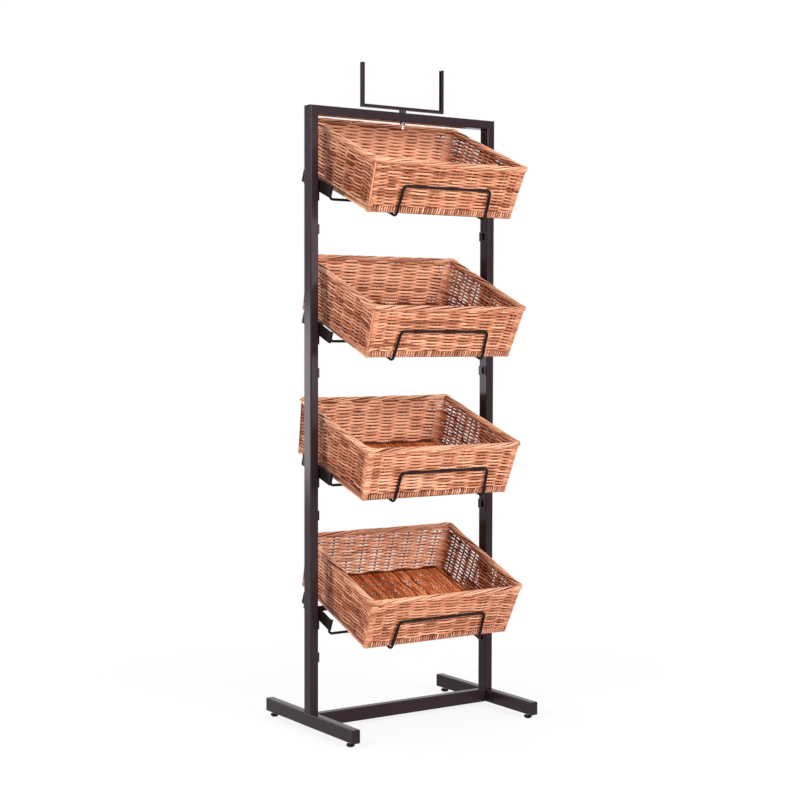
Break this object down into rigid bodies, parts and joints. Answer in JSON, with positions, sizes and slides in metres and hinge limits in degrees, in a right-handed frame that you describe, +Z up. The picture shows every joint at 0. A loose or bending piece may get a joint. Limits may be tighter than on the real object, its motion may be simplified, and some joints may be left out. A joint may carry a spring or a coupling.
{
  "type": "basket display rack",
  "caption": "Floor rack for bread: dark tube stand with sloping wicker baskets on hooked wire holders, levelling feet and a swivelling card holder on top.",
  "frame": {"origin": "on the floor, in the middle of the two uprights; the uprights' middle plane is Y = 0", "axes": "+X to the right seen from the front, +Y from front to back, +Z up"},
  "size_m": [0.5, 0.3904, 1.4863],
  "materials": {
    "frame_coat": "satin dark brown powder coat",
    "bracket_coat": "satin near-black powder coat",
    "wire_coat": "satin near-black powder coat",
    "zinc": "bright zinc plate",
    "pad": "moulded black",
    "wicker_wall": "honey brown woven cane, dull",
    "wicker_rim": "pale honey plaited cane, dull",
    "wicker_floor": "darker orange-brown cane, dull"
  },
  "bodies": {
    "stand": {"left_upright": "frame_coat", "right_upright": "frame_coat", "top_rail": "frame_coat", "cross_rail": "frame_coat", "left_foot_tube": "frame_coat", "right_foot_tube": "frame_coat", "foot_end_plates": "frame_coat", "weld_nuts": "zinc", "left_hook_sockets": "frame_coat", "right_hook_sockets": "frame_coat"},
    "sign_holder": {"sign_left_post": "frame_coat", "sign_right_post": "frame_coat", "sign_base_channel": "frame_coat", "sign_stud": "zinc", "sign_washer": "zinc", "sign_nut": "zinc"},
    "holder_1": {"tier_1_left_bracket": "bracket_coat", "tier_1_right_bracket": "bracket_coat", "tier_1_wire_cradle": "wire_coat", "tier_1_cross_strap": "bracket_coat"},
    "basket_1": {"basket_1_wall": "wicker_wall", "basket_1_rim": "wicker_rim", "basket_1_foot_border": "wicker_rim", "basket_1_floor": "wicker_floor"},
    "holder_2": {"tier_2_left_bracket": "bracket_coat", "tier_2_right_bracket": "bracket_coat", "tier_2_wire_cradle": "wire_coat", "tier_2_cross_strap": "bracket_coat"},
    "basket_2": {"basket_2_wall": "wicker_wall", "basket_2_rim": "wicker_rim", "basket_2_foot_border": "wicker_rim", "basket_2_floor": "wicker_floor"},
    "holder_3": {"tier_3_left_bracket": "bracket_coat", "tier_3_right_bracket": "bracket_coat", "tier_3_wire_cradle": "wire_coat", "tier_3_cross_strap": "bracket_coat"},
    "basket_3": {"basket_3_wall": "wicker_wall", "basket_3_rim": "wicker_rim", "basket_3_foot_border": "wicker_rim", "basket_3_floor": "wicker_floor"},
    "holder_4": {"tier_4_left_bracket": "bracket_coat", "tier_4_right_bracket": "bracket_coat", "tier_4_wire_cradle": "wire_coat", "tier_4_cross_strap": "bracket_coat"},
    "basket_4": {"basket_4_wall": "wicker_wall", "basket_4_rim": "wicker_rim", "basket_4_foot_border": "wicker_rim", "basket_4_floor": "wicker_floor"},
    "left_front_foot": {"left_front_levelling_pad": "pad", "left_front_levelling_stud": "zinc"},
    "left_back_foot": {"left_back_levelling_pad": "pad", "left_back_levelling_stud": "zinc"},
    "right_front_foot": {"right_front_levelling_pad": "pad", "right_front_levelling_stud": "zinc"},
    "right_back_foot": {"right_back_levelling_pad": "pad", "right_back_levelling_stud": "zinc"}
  },
  "joints": [
    {"name": "holder_1_unhook", "type": "slide", "parent": "stand", "child": "holder_1", "axis": [0, 0, 1], "range_m": [0, 0.008]},
    {"name": "basket_1_lift", "type": "slide", "parent": "holder_1", "child": "basket_1", "axis": [0, -0.3584, 0.9336], "range_m": [0, 0.008]},
    {"name": "holder_2_unhook", "type": "slide", "parent": "stand", "child": "holder_2", "axis": [0, 0, 1], "range_m": [0, 0.02]},
    {"name": "basket_2_lift", "type": "slide", "parent": "holder_2", "child": "basket_2", "axis": [0, -0.3697, 0.9291], "range_m": [0, 0.075]},
    {"name": "holder_3_unhook", "type": "slide", "parent": "stand", "child": "holder_3", "axis": [0, 0, 1], "range_m": [0, 0.02]},
    {"name": "basket_3_lift", "type": "slide", "parent": "holder_3", "child": "basket_3", "axis": [0, -0.3024, 0.9532], "range_m": [0, 0.075]},
    {"name": "holder_4_unhook", "type": "slide", "parent": "stand", "child": "holder_4", "axis": [0, 0, 1], "range_m": [0, 0.02]},
    {"name": "basket_4_lift", "type": "slide", "parent": "holder_4", "child": "basket_4", "axis": [0, -0.3616, 0.9323], "range_m": [0, 0.075]},
    {"name": "left_front_foot_screw", "type": "slide", "parent": "stand", "child": "left_front_foot", "axis": [0, 0, 1], "range_m": [-0.01, 0]},
    {"name": "left_back_foot_screw", "type": "slide", "parent": "stand", "child": "left_back_foot", "axis": [0, 0, 1], "range_m": [-0.01, 0]},
    {"name": "right_front_foot_screw", "type": "slide", "parent": "stand", "child": "right_front_foot", "axis": [0, 0, 1], "range_m": [-0.01, 0]},
    {"name": "right_back_foot_screw", "type": "slide", "parent": "stand", "child": "right_back_foot", "axis": [0, 0, 1], "range_m": [-0.01, 0]},
    {"name": "sign_swivel", "type": "hinge", "parent": "stand", "child": "sign_holder", "pos_m": [0, 0, 1.3873], "axis": [0, 0, 1], "range_deg": [-90, 90]}
  ]
}
